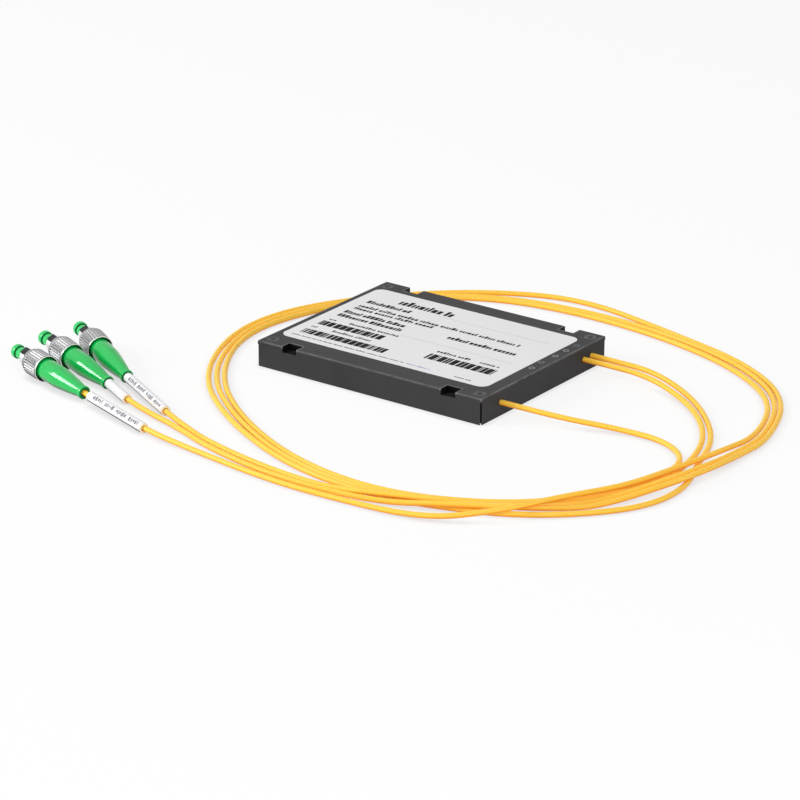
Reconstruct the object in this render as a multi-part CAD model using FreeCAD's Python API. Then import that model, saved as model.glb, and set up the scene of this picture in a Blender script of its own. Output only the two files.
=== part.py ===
import FreeCAD, Part
import math
import os

# Fibre filter module: a flat moulded box with three corded connectors.
# Millimetres. Origin at the bottom centre of the box, +X to the cord side, +Y to the rear, +Z up.

Vector = FreeCAD.Vector

# Box
box_length = 100.0
box_width = 80.0
box_height = 10.0
wall = 1.8
floor = 1.5
lid_plate = 1.5
edge_round = 0.35
corner_seam = 0.6
seat_gap = 0.05
overcut = 2.0

# Mounting notches in the long sides, each with a through hole for a screw
notch_from_end = 14.5
notch_width = 6.6
notch_depth = 4.6
notch_drop = 2.5
notch_wall = 1.2
mount_hole_d = 3.4
mount_hole_from_side = 2.7

# Lid screws
screw_from_end = 3.7
screw_from_side = 4.4
screw_d = 1.9
screw_head_d = 3.6
screw_length = 6.5
screw_recess = 0.1
screw_slot = 0.45
screw_slot_length = 2.2
screw_slot_depth = 0.45
screw_boss_d = 4.0

# Label on the lid, placed by its margins to the box's edges
label_margin_left = 2.6
label_margin_right = 5.4
label_margin_front = 9.7
label_margin_rear = 8.2
label_thickness = 0.12
label_corner = 3.5

# Filter device and the fibre stored round it
tube_d = 5.5
tube_length = 34.0
tube_relief_d = 3.6
tube_relief = 2.0
tube_lift = 0.2
cradle_spacing = 24.0
cradle_thickness = 3.0
cradle_width = 8.4
coil_bundle_d = 2.4
coil_radius = 25.0
coil_straight = 28.0
fibre_d = 0.9
twin_fibre_pitch = 1.3
twin_fibre_spread = 5.0
lead_landing = 12.0
lead_stagger = 6.0

# Cords, their holes in the end wall and the rings that hold them behind it
cord_d = 2.0
cord_hole_gap = 0.2
anchor_d = 3.8
anchor_length = 3.2
exit_height = 5.0
exit_run = 8.0
exit_front_from_side = 12.5
exit_middle_from_side = 9.0
exit_rear_from_side = 14.0
arc_share = 0.45

# Connector, measured along its axis from the boot's tail towards the nose
boot_length = 25.6
boot_tail_d = 5.0
boot_tail_lip = 1.2
boot_waist = 0.25
boot_base_d = 8.2
boot_base = 9.6
boot_bulge = 0.15
boot_bore_gap = 0.35
cord_stop = 13.15
crimp_grip = 4.5
crimp_wall = 0.5
rear_barrel_d = 3.4
rear_flange = 1.2
rear_spigot = 3.5
fibre_bore_d = 1.2
nut_over_boot = 1.1
nut_boot_gap = 0.6
nut_rim = 0.4
nut_length = 9.8
nut_rear_bore = 1.9
nut_web = 2.0
nut_clearance = 0.05
nut_end_play = 0.1
nut_mouth_gap = 0.3
nut_lip = 0.7
nut_chamfer = 2.1
nut_chamfer_rise = 0.75
knurl_count = 30
knurl_depth = 0.32
body_d = 6.4
body_bore_d = 4.8
body_shoulder = 1.5
body_shoulder_gap = 0.2
barrel_d = 6.6
barrel_proud = 3.4
barrel_mouth = 4.3
key_width = 3.0
key_length = 3.0
key_depth = 0.6
key_rise = 0.4
ferrule_d = 2.5
ferrule_guide = 3.0
ferrule_proud = 2.3
ferrule_angle = 8.0
ferrule_chamfer = 0.35
ferrule_clearance = 0.04
flange_length = 2.4
spring_length = 5.1
spring_wire = 0.5
spring_wire_sides = 6
spring_turns = 4
cap_wall = 0.67
cap_skirt_in = 3.3
cap_neck = 4.7
cap_neck_d = 4.5
cap_neck_gap = 0.2
cap_head_d = 5.4
cap_head = 3.3
cap_dome = 2.1
cap_clearance = 0.03
cap_mouth_gap = 0.35
cap_tip_room = 0.4
plug_roll = 25.0

# Marker sleeves on the cords, and the bare cord between each sleeve and its boot
sleeve_d = 3.8
sleeve_bore_gap = 0.35
sleeve_front = 34.5
sleeve_middle = 15.8
sleeve_rear = 35.0
bare_front = 3.6
bare_middle = 0.6
bare_rear = 0.6

# Each cord's way over the table, from in front of its hole to the crimp in its connector
way_front = [
    (76, -24, 3.6), (93, -16.5, 1.5), (112, -15.5, 1), (126.3, -26.4, 1), (127.8, -46, 1), (118, -71, 1),
    (100, -94.5, 1), (62, -111.7, 1), (19.5, -107.2, 1), (-21.8, -86.3, 1), (-53.8, -58, 1), (-74, -19, 1),
    (-68.2, 18.5, 1), (-48.4, 50.2, 1), (-19.5, 70.2, 1), (17.2, 75.5, 1), (56.4, 71.7, 1), (93, 60.5, 1),
    (122, 40, 1), (134.8, 8, 1), (134.5, -16, 3.2), (130, -40, 3.2), (124.5, -63, 3.2), (114, -86, 4.4),
    (104, -107.5, 4.2), (84, -122.5, 1.3), (44.8, -125.5, 1), (19.2, -125.3, 1), (-18, -119.8, 1),
    (-38.5, -117.23, 1.81), (-59.8, -110.95, 2.67), (-77.25, -105.8, 3.38), (-89.83, -102.31, 4.3),
]
way_rear = [
    (76, 27.5, 4.2), (94, 22.5, 1.6), (110, 10, 1), (122.3, -7.5, 1), (128.6, -27, 1), (130.3, -47, 1),
    (121, -71.5, 1), (101.5, -97, 1), (63, -113.7, 1), (19.2, -109.7, 1), (-22.8, -88.3, 1),
    (-57.1, -59.1, 1), (-76.6, -16.8, 1), (-70.9, 18.8, 1), (-49.5, 52, 1), (-19.7, 72.5, 1), (17.7, 78.8, 1),
    (57.3, 75.4, 1), (94.4, 64, 1), (123.5, 42.6, 1), (137.3, 8.2, 1), (137.3, -13.9, 1.6),
    (137.2, -31, 3.2), (133.4, -50, 3.2), (123.5, -73.5, 1), (107, -94, 1), (88.5, -107, 3.2),
    (65, -116, 3.2), (43, -119.2, 1), (16, -118, 1), (-16, -111.3, 1), (-33, -104.5, 1.2),
    (-44.5, -99.6, 1.92), (-61, -90.96, 2.27), (-76.62, -82.79, 2.6), (-88.24, -77.02, 3.95),
]
way_middle = [
    (76, 32.3, 4.3), (95, 26, 1.7), (111.5, 12, 1), (125.3, -6.5, 1), (131.8, -27.5, 1), (139.7, -47.5, 1),
    (137.5, -69, 1), (122.5, -88.5, 1), (104, -102.3, 1), (84, -109.5, 1), (60, -115.7, 1), (20, -112.1, 1),
    (-23.2, -91.4, 1), (-57.2, -63.8, 1), (-77.7, -22.5, 1), (-76.3, 13.6, 1), (-52.7, 51.4, 1),
    (-24.2, 76.3, 1), (8.7, 89.2, 1), (54.8, 77.8, 1), (95.5, 66.4, 1), (125.1, 44.3, 1), (139.6, 8, 1),
    (139.4, -14, 1.6), (139.6, -34, 3.2), (135.5, -54, 3.2), (125.5, -75.5, 1), (117, -86.5, 1),
    (102, -101.5, 3.1), (84, -111.8, 3.2), (62, -119.8, 1), (22, -122.4, 1), (-12, -115.5, 1),
    (-34, -106.8, 1), (-49, -103, 1.25), (-63, -98.8, 1.92), (-78.2, -91.6, 2.6), (-90.6, -87.7, 3.93),
]

# The box's values worked out from the sizes above
half_length = box_length / 2
half_width = box_width / 2
lid_under = box_height - lid_plate
inner_end = half_length - wall
inner_side = half_width - wall
shelf_height = box_height - notch_drop
notch_x = half_length - notch_from_end
mount_y = half_width - mount_hole_from_side
screw_x = half_length - screw_from_end
screw_y = half_width - screw_from_side
seam_step = corner_seam * math.sqrt(2) / 2
tube_height = floor + tube_lift + tube_d / 2
coil_height = floor + coil_bundle_d / 2
lead_rest = floor + coil_bundle_d + fibre_d / 2 + seat_gap
corner_signs = [(1, 1), (1, -1), (-1, 1), (-1, -1)]

# The connector's stations and diameters worked out from the sizes above
nut_start = boot_length - nut_over_boot
nut_front = nut_start + nut_length
web_start = nut_start + nut_rear_bore
web_end = web_start + nut_web
shoulder_start = web_end + nut_end_play
shoulder_end = shoulder_start + body_shoulder
barrel_front = nut_front + barrel_proud
guide_front = barrel_front - barrel_mouth
guide_rear = guide_front - ferrule_guide
flange_rear = guide_rear - flange_length
spigot_front = flange_rear - spring_length
body_start = spigot_front - rear_spigot
rear_flange_start = body_start - rear_flange
crimp_start = cord_stop - crimp_grip
ferrule_tip = barrel_front + ferrule_proud
cap_rear = barrel_front - cap_skirt_in
cap_head_start = barrel_front + cap_neck
nut_rear_bore_d = boot_base_d + 2 * nut_boot_gap
nut_d = nut_rear_bore_d + 2 * nut_rim
nut_mouth_d = barrel_d + 2 * (key_rise + nut_mouth_gap)
body_shoulder_d = nut_mouth_d - 2 * body_shoulder_gap
crimp_d = rear_barrel_d + 2 * (seat_gap + crimp_wall)
cap_bore_d = ferrule_d + 2 * cap_clearance
cap_skirt_d = cap_bore_d + 2 * cap_wall
barrel_mouth_d = cap_skirt_d + 2 * cap_mouth_gap


def with_exit(y, way):
    # A cord's whole route: from its anchor straight out of the wall, then along its way
    return [(inner_end - anchor_length, y, exit_height), (half_length + exit_run, y, exit_height)] + way


# Each pigtail: its cord's route, the route point its sleeve runs back to, the bare cord before it, its length
pigtails = {
    "front": {"route": with_exit(exit_front_from_side - half_width, way_front), "back_to": -4,
              "bare": bare_front, "sleeve": sleeve_front},
    "middle": {"route": with_exit(half_width - exit_middle_from_side, way_middle), "back_to": -3,
               "bare": bare_middle, "sleeve": sleeve_middle},
    "rear": {"route": with_exit(half_width - exit_rear_from_side, way_rear), "back_to": -4,
             "bare": bare_rear, "sleeve": sleeve_rear},
}


def block(x_span, y_span, z_span):
    low = Vector(x_span[0], y_span[0], z_span[0])
    return Part.makeBox(x_span[1] - x_span[0], y_span[1] - y_span[0], z_span[1] - z_span[0], low)


def around(middle, size):
    return (middle - size / 2, middle + size / 2)


def post(x, y, z_span, diameter):
    return Part.makeCylinder(diameter / 2, z_span[1] - z_span[0], Vector(x, y, z_span[0]))


def prism(corners, z_span):
    points = [Vector(x, y, z_span[0]) for x, y in corners]
    face = Part.Face(Part.makePolygon(points + points[:1]))
    return face.extrude(Vector(0, 0, z_span[1] - z_span[0]))


def rod(start, end, diameter):
    start = Vector(*start)
    run = Vector(*end) - start
    return Part.makeCylinder(diameter / 2, run.Length, start, run)


def turned(profile):
    # A closed profile of (station, radius) points, turned about the X axis
    points = [Vector(station, 0, radius) for station, radius in profile]
    face = Part.Face(Part.makePolygon(points + points[:1]))
    return face.revolve(Vector(0, 0, 0), Vector(1, 0, 0), 360)


def ring(span, outer_d, inner_d):
    start, end = span
    return turned([(start, inner_d / 2), (end, inner_d / 2), (end, outer_d / 2), (start, outer_d / 2)])


def end_wall(side):
    # One end wall of the tray, mitred to leave the corner seams open
    outer = half_width - seam_step
    inner = inner_side - seam_step
    corners = [(half_length, -outer), (half_length, outer), (inner_end, inner), (inner_end, -inner)]
    return prism([(side * x, y) for x, y in corners], (0, lid_under))


def base_tray():
    tray_side = inner_side - seat_gap
    tray = block((-half_length, half_length), (-tray_side, tray_side), (0, floor))
    tray = tray.fuse([end_wall(1), end_wall(-1)])
    for x, y in corner_signs:
        tray = tray.fuse(post(x * screw_x, y * screw_y, (0, lid_under), screw_boss_d))
    for side in (-1, 1):
        x_span = around(side * cradle_spacing / 2, cradle_thickness)
        tray = tray.fuse(block(x_span, around(0, cradle_width), (0, tube_height)))
    cuts = [rod((-tube_length / 2, 0, tube_height), (tube_length / 2, 0, tube_height), tube_d + 2 * seat_gap)]
    for x, y in corner_signs:
        cuts.append(post(x * screw_x, y * screw_y, (floor, lid_under), screw_d + 2 * seat_gap))
        cuts.append(post(x * notch_x, y * mount_y, (-overcut, floor + overcut), mount_hole_d))
    for pigtail in pigtails.values():
        y = pigtail["route"][0][1]
        hole = ((inner_end - overcut, y, exit_height), (half_length + overcut, y, exit_height))
        cuts.append(rod(*hole, cord_d + 2 * cord_hole_gap))
    return tray.cut(cuts).removeSplitter()


def mount_column(x, y):
    # The block under one notch, standing on the tray's floor
    inner = half_width - notch_depth - notch_wall
    y_span = sorted((y * inner, y * (half_width - wall / 2)))
    return block(around(x * notch_x, notch_width + 2 * notch_wall), y_span, (floor, lid_under + lid_plate / 2))


def screw_profile(room):
    # Half section of a countersunk screw, as (height, radius), with room added at its side
    top = box_height - screw_recess
    head = screw_head_d / 2
    shank = screw_d / 2
    head_end = top - (head - shank)
    end = top - screw_length
    return [(top, 0), (top, head + room), (head_end, shank + room), (end, shank + room), (end, 0)]


def upright(profile, x, y):
    # A closed profile of (height, radius) points, turned about an upright axis
    points = [Vector(x + radius, y, height) for height, radius in profile]
    face = Part.Face(Part.makePolygon(points + points[:1]))
    return face.revolve(Vector(x, y, 0), Vector(0, 0, 1), 360)


def lid():
    shell = block((-half_length, half_length), (-half_width, half_width), (0, box_height))
    top_edges = [edge for edge in shell.Edges if edge.BoundBox.ZMin > box_height / 2]
    shell = shell.makeFillet(edge_round, top_edges)
    beyond = half_length + overcut
    shell = shell.cut(block((-beyond, beyond), (-inner_side, inner_side), (-overcut, lid_under)))
    apex = half_length - half_width - seam_step
    for side in (1, -1):
        corners = [(apex, 0), (beyond, apex - beyond), (beyond, beyond - apex)]
        shell = shell.cut(prism([(side * x, y) for x, y in corners], (-overcut, lid_under)))
    shell = shell.fuse([mount_column(x, y) for x, y in corner_signs])
    cuts = []
    for x, y in corner_signs:
        y_span = sorted((y * (half_width - notch_depth), y * (half_width + overcut)))
        cuts.append(block(around(x * notch_x, notch_width), y_span, (shelf_height, box_height + overcut)))
        cuts.append(post(x * notch_x, y * mount_y, (0, box_height), mount_hole_d))
        cuts.append(upright(screw_profile(seat_gap), x * screw_x, y * screw_y))
        recess = (box_height - screw_recess, box_height + overcut)
        cuts.append(post(x * screw_x, y * screw_y, recess, screw_head_d + 2 * seat_gap))
    return shell.cut(cuts).removeSplitter()


def lid_screws():
    screws = []
    slot = (box_height - screw_recess - screw_slot_depth, box_height + overcut)
    for x, y in corner_signs:
        screw = upright(screw_profile(0), x * screw_x, y * screw_y)
        for along, across in ((screw_slot_length, screw_slot), (screw_slot, screw_slot_length)):
            screw = screw.cut(block(around(x * screw_x, along), around(y * screw_y, across), slot))
        screws.append(screw)
    return Part.makeCompound(screws)


def top_label():
    x_span = (label_margin_left - half_length, half_length - label_margin_right)
    y_span = (label_margin_front - half_width, half_width - label_margin_rear)
    sheet = block(x_span, y_span, (box_height, box_height + label_thickness))
    corner_edges = [edge for edge in sheet.Edges if edge.BoundBox.ZLength > label_thickness / 2]
    return sheet.makeFillet(label_corner, corner_edges)


def filter_tube():
    end = tube_length / 2
    tip = end + tube_relief
    case = turned([
        (-tip, 0), (-tip, tube_relief_d / 2), (-end, tube_relief_d / 2), (-end, tube_d / 2),
        (end, tube_d / 2), (end, tube_relief_d / 2), (tip, tube_relief_d / 2), (tip, 0),
    ])
    case.translate(Vector(0, 0, tube_height))
    return case


def swept(path, start, direction, diameter):
    circle = Part.Wire(Part.Circle(start, direction, diameter / 2).toShape())
    return path.makePipeShell([circle], True, False)


def fibre_coil():
    # The stored fibre, a flat racetrack of one round bundle on the tray's floor
    half = coil_straight / 2
    right = Vector(half + coil_radius, 0, coil_height)
    left = Vector(-half - coil_radius, 0, coil_height)
    corners = [Vector(x * half, y * coil_radius, coil_height) for x, y in ((1, 1), (-1, 1), (-1, -1), (1, -1))]
    path = Part.Wire([
        Part.LineSegment(corners[0], corners[1]).toShape(),
        Part.Arc(corners[1], left, corners[2]).toShape(),
        Part.LineSegment(corners[2], corners[3]).toShape(),
        Part.Arc(corners[3], right, corners[0]).toShape(),
    ])
    return swept(path, corners[0], corners[1] - corners[0], coil_bundle_d)


def fibre_leads():
    # Fibres from each cord to the coil, and from the coil to the two ends of the filter
    leads = []
    ranked = sorted(pigtails.values(), key=lambda pigtail: pigtail["route"][0][1])
    for rank, pigtail in enumerate(ranked):
        x, y, z = pigtail["route"][0]
        landing = math.copysign(coil_radius + (rank - 1) * fibre_d, y)
        leads.append(rod((x - seat_gap, y, z), (lead_landing - rank * lead_stagger, landing, lead_rest), fibre_d))
    tip = tube_length / 2 + tube_relief + seat_gap
    edge = coil_straight / 2 + coil_radius
    for side in (-1, 1):
        start = (tip, side * twin_fibre_pitch / 2, tube_height)
        leads.append(rod(start, (edge, side * twin_fibre_spread / 2, lead_rest), fibre_d))
    leads.append(rod((-tip, 0, tube_height), (-edge, 0, lead_rest), fibre_d))
    return Part.makeCompound(leads)


def cord_anchors():
    anchors = []
    for pigtail in pigtails.values():
        anchor = ring((inner_end - anchor_length, inner_end), anchor_d, cord_d + 2 * seat_gap)
        anchor.translate(Vector(0, pigtail["route"][0][1], exit_height))
        anchors.append(anchor)
    return Part.makeCompound(anchors)


def cord_path(points):
    # Straight runs joined by tangent arcs, each arc as large as its shorter run allows
    points = [Vector(*point) for point in points]
    edges = []
    radii = []
    reached = points[0]
    for before, corner, after in zip(points, points[1:], points[2:]):
        into = corner - before
        out = after - corner
        setback = arc_share * min(into.Length, out.Length)
        turn = into.getAngle(out)
        into.normalize()
        out.normalize()
        first = corner - into * setback
        last = corner + out * setback
        radius = setback / math.tan(turn / 2)
        inward = (out - into).normalize()
        middle = corner + inward * (radius / math.cos(turn / 2) - radius)
        edges.append(Part.LineSegment(reached, first).toShape())
        edges.append(Part.Arc(first, middle, last).toShape())
        radii.append(radius)
        reached = last
    edges.append(Part.LineSegment(reached, points[-1]).toShape())
    return Part.Wire(edges), radii


def cord(name, points):
    path, radii = cord_path(points)
    start = Vector(*points[0])
    solid = swept(path, start, Vector(*points[1]) - start, cord_d)
    expected = math.pi * cord_d ** 2 / 4 * path.Length
    print("cord", name, "length", round(path.Length, 1), "volume / expected", round(solid.Volume / expected, 5))
    print("  arc radii", [round(radius) for radius in radii])
    return solid


def turned_edges(edges):
    return Part.Face(Part.Wire(edges)).revolve(Vector(0, 0, 0), Vector(1, 0, 0), 360)


def boot():
    # Strain relief: a stepped bore inside a gently bulging taper, with a lip round its tail
    tail = boot_tail_d / 2
    waist = tail - boot_waist
    base = boot_base_d / 2
    base_start = boot_length - boot_base
    waist_start = boot_tail_lip + 2 * boot_waist
    bulge = Vector((waist_start + base_start) / 2, 0, (waist + base) / 2 + boot_bulge)
    corners = [Vector(x, 0, z) for x, z in (
        (waist_start, waist), (base_start, base), (boot_length, base), (boot_length, 0), (0, 0), (0, tail),
        (boot_tail_lip, tail))]
    edges = [Part.Arc(corners[0], bulge, corners[1]).toShape()]
    for start, end in zip(corners[1:], corners[2:] + corners[:1]):
        edges.append(Part.LineSegment(start, end).toShape())
    cord_room = cord_d / 2 + boot_bore_gap
    crimp_room = crimp_d / 2 + seat_gap
    body_room = body_d / 2 + seat_gap
    crimp_step = crimp_start - seat_gap
    body_step = rear_flange_start - seat_gap
    end = boot_length + overcut
    bore = turned([
        (-overcut, 0), (-overcut, cord_room), (crimp_step, cord_room), (crimp_step, crimp_room),
        (body_step, crimp_room), (body_step, body_room), (end, body_room), (end, 0),
    ])
    return turned_edges(edges).cut(bore)


def crimp_sleeve():
    grip = cord_d / 2 + 2 * seat_gap
    over = rear_barrel_d / 2 + seat_gap
    end = rear_flange_start - seat_gap
    outer = crimp_d / 2
    return turned([
        (crimp_start, grip), (cord_stop, grip), (cord_stop, over), (end, over), (end, outer), (crimp_start, outer),
    ])


def rear_body():
    bore = fibre_bore_d / 2
    barrel = rear_barrel_d / 2
    flange = body_d / 2
    spigot = body_bore_d / 2 - seat_gap
    start = cord_stop + seat_gap
    return turned([
        (start, bore), (spigot_front, bore), (spigot_front, spigot), (body_start, spigot), (body_start, flange),
        (rear_flange_start, flange), (rear_flange_start, barrel), (start, barrel),
    ])


def key_block(top, room):
    # The locating key on top of the barrel, or the slot that holds it
    x_span = (barrel_front - key_length - room, barrel_front + room)
    return block(x_span, around(0, key_width + 2 * room), (barrel_d / 2 - key_depth - room, barrel_d / 2 + top))


def plug_body():
    guide = ferrule_d / 2 + ferrule_clearance
    bore = body_bore_d / 2
    mouth = barrel_mouth_d / 2
    barrel = barrel_d / 2
    shoulder = body_shoulder_d / 2
    outer = body_d / 2
    body = turned([
        (body_start, bore), (guide_rear, bore), (guide_rear, guide), (guide_front, guide), (guide_front, mouth),
        (barrel_front, mouth), (barrel_front, barrel), (shoulder_end, barrel), (shoulder_end, shoulder),
        (shoulder_start, shoulder), (shoulder_start, outer), (body_start, outer),
    ])
    return body.cut(key_block(overcut, seat_gap))


def locating_key():
    return key_block(key_rise, 0)


def ferrule():
    # Ceramic pin with a chamfered tip, its end face cut to the polish angle
    radius = ferrule_d / 2
    tip_radius = radius - ferrule_chamfer
    pin = turned([
        (flange_rear, 0), (flange_rear, radius), (ferrule_tip - ferrule_chamfer, radius),
        (ferrule_tip, tip_radius), (ferrule_tip, 0),
    ])
    waste = block((0, ferrule_d), around(0, 2 * ferrule_d), around(0, 2 * ferrule_d))
    waste.rotate(Vector(0, 0, 0), Vector(0, 1, 0), -ferrule_angle)
    waste.translate(Vector(ferrule_tip - math.tan(math.radians(ferrule_angle)) * tip_radius, 0, 0))
    return pin.cut(waste)


def ferrule_flange():
    outer_d = body_bore_d - 2 * ferrule_clearance
    return ring((flange_rear, guide_rear - ferrule_clearance), outer_d, ferrule_d + 2 * seat_gap)


def ferrule_spring():
    # A wire coil pressed between the rear body and the ferrule's flange; flat sides keep its mesh light and true
    radius = spring_wire / 2
    mean = (body_bore_d - spring_wire) / 2 - 2 * seat_gap
    rise = spring_length - spring_wire - 2 * seat_gap
    lean = math.atan2(rise / spring_turns, 2 * math.pi * mean)
    corners = []
    for index in range(spring_wire_sides):
        angle = 2 * math.pi * (index + 0.5) / spring_wire_sides
        height = radius * math.sin(angle)
        corners.append(Vector(mean + radius * math.cos(angle), -height * math.sin(lean), height * math.cos(lean)))
    section = Part.makePolygon(corners + corners[:1])
    helix = Part.makeHelix(rise / spring_turns, rise, mean)
    coil = Part.Wire(helix.Edges).makePipeShell([section], True, True)
    coil.rotate(Vector(0, 0, 0), Vector(0, 1, 0), 90)
    coil.translate(Vector(spigot_front + spring_wire / 2 + seat_gap, 0, 0))
    return coil


def coupling_nut():
    outer = nut_d / 2
    rear = nut_rear_bore_d / 2
    web = body_d / 2 + nut_clearance
    mouth = nut_mouth_d / 2
    form = turned([
        (nut_start, rear), (web_start, rear), (web_start, web), (web_end, web), (web_end, mouth),
        (nut_front, mouth), (nut_front, outer - nut_chamfer_rise), (nut_front - nut_chamfer, outer),
        (nut_start, outer),
    ])
    start = nut_start + nut_lip
    points = [Vector(start, y, outer + z) for y, z in (
        (0, -knurl_depth), (2 * knurl_depth, knurl_depth), (-2 * knurl_depth, knurl_depth))]
    run = nut_length - nut_lip - nut_chamfer
    groove = Part.Face(Part.makePolygon(points + points[:1])).extrude(Vector(run, 0, 0))
    grooves = []
    for index in range(knurl_count):
        flute = groove.copy()
        flute.rotate(Vector(0, 0, 0), Vector(1, 0, 0), 360 * index / knurl_count)
        grooves.append(flute)
    return form.cut(grooves)


def dust_cap():
    # Soft cap: a blind skirt on the ferrule, a thicker neck in front of the barrel and a rounded pull head
    skirt = cap_skirt_d / 2
    head = cap_head_d / 2
    neck = cap_neck_d / 2
    neck_start = barrel_front + cap_neck_gap
    bore = cap_bore_d / 2
    blind = ferrule_tip + cap_tip_room
    tip = cap_head_start + cap_head
    crown = tip - cap_dome
    corners = [Vector(x, 0, z) for x, z in (
        (tip, 0), (crown, head), (cap_head_start, head), (cap_head_start, neck), (neck_start, neck),
        (neck_start, skirt), (cap_rear, skirt), (cap_rear, bore), (blind, bore), (blind, 0))]
    dome = Vector(crown + cap_dome * math.sqrt(0.5), 0, head * math.sqrt(0.5))
    edges = [Part.Arc(corners[0], dome, corners[1]).toShape()]
    for start, end in zip(corners[1:], corners[2:] + corners[:1]):
        edges.append(Part.LineSegment(start, end).toShape())
    return turned_edges(edges)


def placed(shape, tail, crimp):
    # Move a connector piece from the X axis onto the cord's last run, its key rolled from the top to the front
    forward = (Vector(*crimp) - Vector(*tail)).normalize()
    side = Vector(0, 0, 1).cross(forward).normalize()
    up = forward.cross(side)
    matrix = FreeCAD.Matrix(
        forward.x, side.x, up.x, tail[0], forward.y, side.y, up.y, tail[1], forward.z, side.z, up.z, tail[2])
    moved = shape.copy()
    roll = FreeCAD.Placement(Vector(0, 0, 0), FreeCAD.Rotation(Vector(1, 0, 0), -plug_roll))
    moved.Placement = FreeCAD.Placement(matrix).multiply(roll).multiply(moved.Placement)
    return moved


def marker_sleeve(pigtail):
    tail = Vector(*pigtail["route"][-2])
    back = (Vector(*pigtail["route"][pigtail["back_to"]]) - tail).normalize()
    start = tail + back * pigtail["bare"]
    outer = Part.makeCylinder(sleeve_d / 2, pigtail["sleeve"], start, back)
    return outer.cut(Part.makeCylinder(cord_d / 2 + sleeve_bore_gap, pigtail["sleeve"], start, back))


def write(name, shape):
    shape.exportStep(os.path.join("parts", name + ".step"))
    box = shape.optimalBoundingBox()
    print(name, "solids", len(shape.Solids), "valid", shape.isValid(), "volume", round(shape.Volume, 2),
          "z", round(box.ZMin, 3), round(box.ZMax, 3))


os.makedirs("parts", exist_ok=True)
box_pieces = {
    "base_tray": base_tray,
    "lid": lid,
    "top_label": top_label,
    "lid_screws": lid_screws,
    "filter_tube": filter_tube,
    "fibre_coil": fibre_coil,
    "fibre_leads": fibre_leads,
    "cord_anchors": cord_anchors,
}
connector_pieces = {
    "boot": boot,
    "crimp_sleeve": crimp_sleeve,
    "rear_body": rear_body,
    "plug_body": plug_body,
    "locating_key": locating_key,
    "ferrule": ferrule,
    "ferrule_flange": ferrule_flange,
    "ferrule_spring": ferrule_spring,
    "coupling_nut": coupling_nut,
    "dust_cap": dust_cap,
}
for piece, make in box_pieces.items():
    write(piece, make())
for piece, make in connector_pieces.items():
    shape = make()
    for name, pigtail in pigtails.items():
        write(piece + "_" + name, placed(shape, *pigtail["route"][-2:]))
for name, pigtail in pigtails.items():
    write("marker_sleeve_" + name, marker_sleeve(pigtail))
    write("cord_" + name, cord(name, pigtail["route"]))
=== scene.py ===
import bmesh
import bpy
import numpy as np
from mathutils import Matrix, Vector


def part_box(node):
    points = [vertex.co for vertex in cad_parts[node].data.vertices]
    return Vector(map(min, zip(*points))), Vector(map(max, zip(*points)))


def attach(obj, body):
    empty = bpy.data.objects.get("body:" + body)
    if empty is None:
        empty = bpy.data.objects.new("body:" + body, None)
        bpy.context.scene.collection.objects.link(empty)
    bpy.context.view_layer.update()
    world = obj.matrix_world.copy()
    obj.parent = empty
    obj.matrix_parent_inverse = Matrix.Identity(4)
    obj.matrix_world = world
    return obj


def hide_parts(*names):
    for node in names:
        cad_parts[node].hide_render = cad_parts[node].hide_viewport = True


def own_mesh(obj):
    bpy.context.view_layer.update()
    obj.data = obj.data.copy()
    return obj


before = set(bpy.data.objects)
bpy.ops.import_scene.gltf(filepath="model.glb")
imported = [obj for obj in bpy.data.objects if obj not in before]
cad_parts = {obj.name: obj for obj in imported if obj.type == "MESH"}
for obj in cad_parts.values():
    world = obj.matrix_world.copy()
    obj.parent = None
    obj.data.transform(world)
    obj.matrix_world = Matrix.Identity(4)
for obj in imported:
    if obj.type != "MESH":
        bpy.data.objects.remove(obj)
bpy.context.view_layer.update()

mm = 0.001
names = ("front", "middle", "rear")
print("frame loaded:", len(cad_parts), "nodes")

# Camera, worked out from the box's corners in the photograph
cameraView = {
    "place": (0.745478, -1.048090, 0.489900),  # metres
    "right": (0.808595, 0.588349, 0.004410),
    "up": (-0.218164, 0.292856, 0.930935),
    "lens": 167.962,
    "sensor": 36.0,
}
camera = bpy.data.objects.new("camera", bpy.data.cameras.new("camera"))
camera.data.lens = cameraView["lens"]
camera.data.sensor_width = cameraView["sensor"]
right = Vector(cameraView["right"]).normalized()
back = right.cross(Vector(cameraView["up"])).normalized()
turn = Matrix((right, back.cross(right), back)).transposed().to_4x4()
camera.matrix_world = Matrix.Translation(cameraView["place"]) @ turn
bpy.context.scene.collection.objects.link(camera)
bpy.context.scene.camera = camera
bpy.context.scene.view_settings.view_transform = "Standard"


# Shader helpers: put adds a node with its settings, wire links sockets
def put(tree, kind, values=None, **settings):
    node = tree.nodes.new("ShaderNode" + kind)
    for name, value in settings.items():
        setattr(node, name, value)
    for name, value in (values or {}).items():
        node.inputs[name].default_value = value
    return node


def wire(tree, *pairs):
    for output, socket in pairs:
        tree.links.new(output, socket)


def newGroup(name, inputs, outputs):
    tree = bpy.data.node_groups.new(name, "ShaderNodeTree")
    for label, kind in inputs:
        tree.interface.new_socket(label, in_out="INPUT", socket_type="NodeSocket" + kind)
    for label, kind in outputs:
        tree.interface.new_socket(label, in_out="OUTPUT", socket_type="NodeSocket" + kind)
    return tree, tree.nodes.new("NodeGroupInput"), tree.nodes.new("NodeGroupOutput")


def useGroup(tree, group, **values):
    node = tree.nodes.new("ShaderNodeGroup")
    node.node_tree = group
    for name, value in values.items():
        node.inputs[name].default_value = value
    return node


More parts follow.
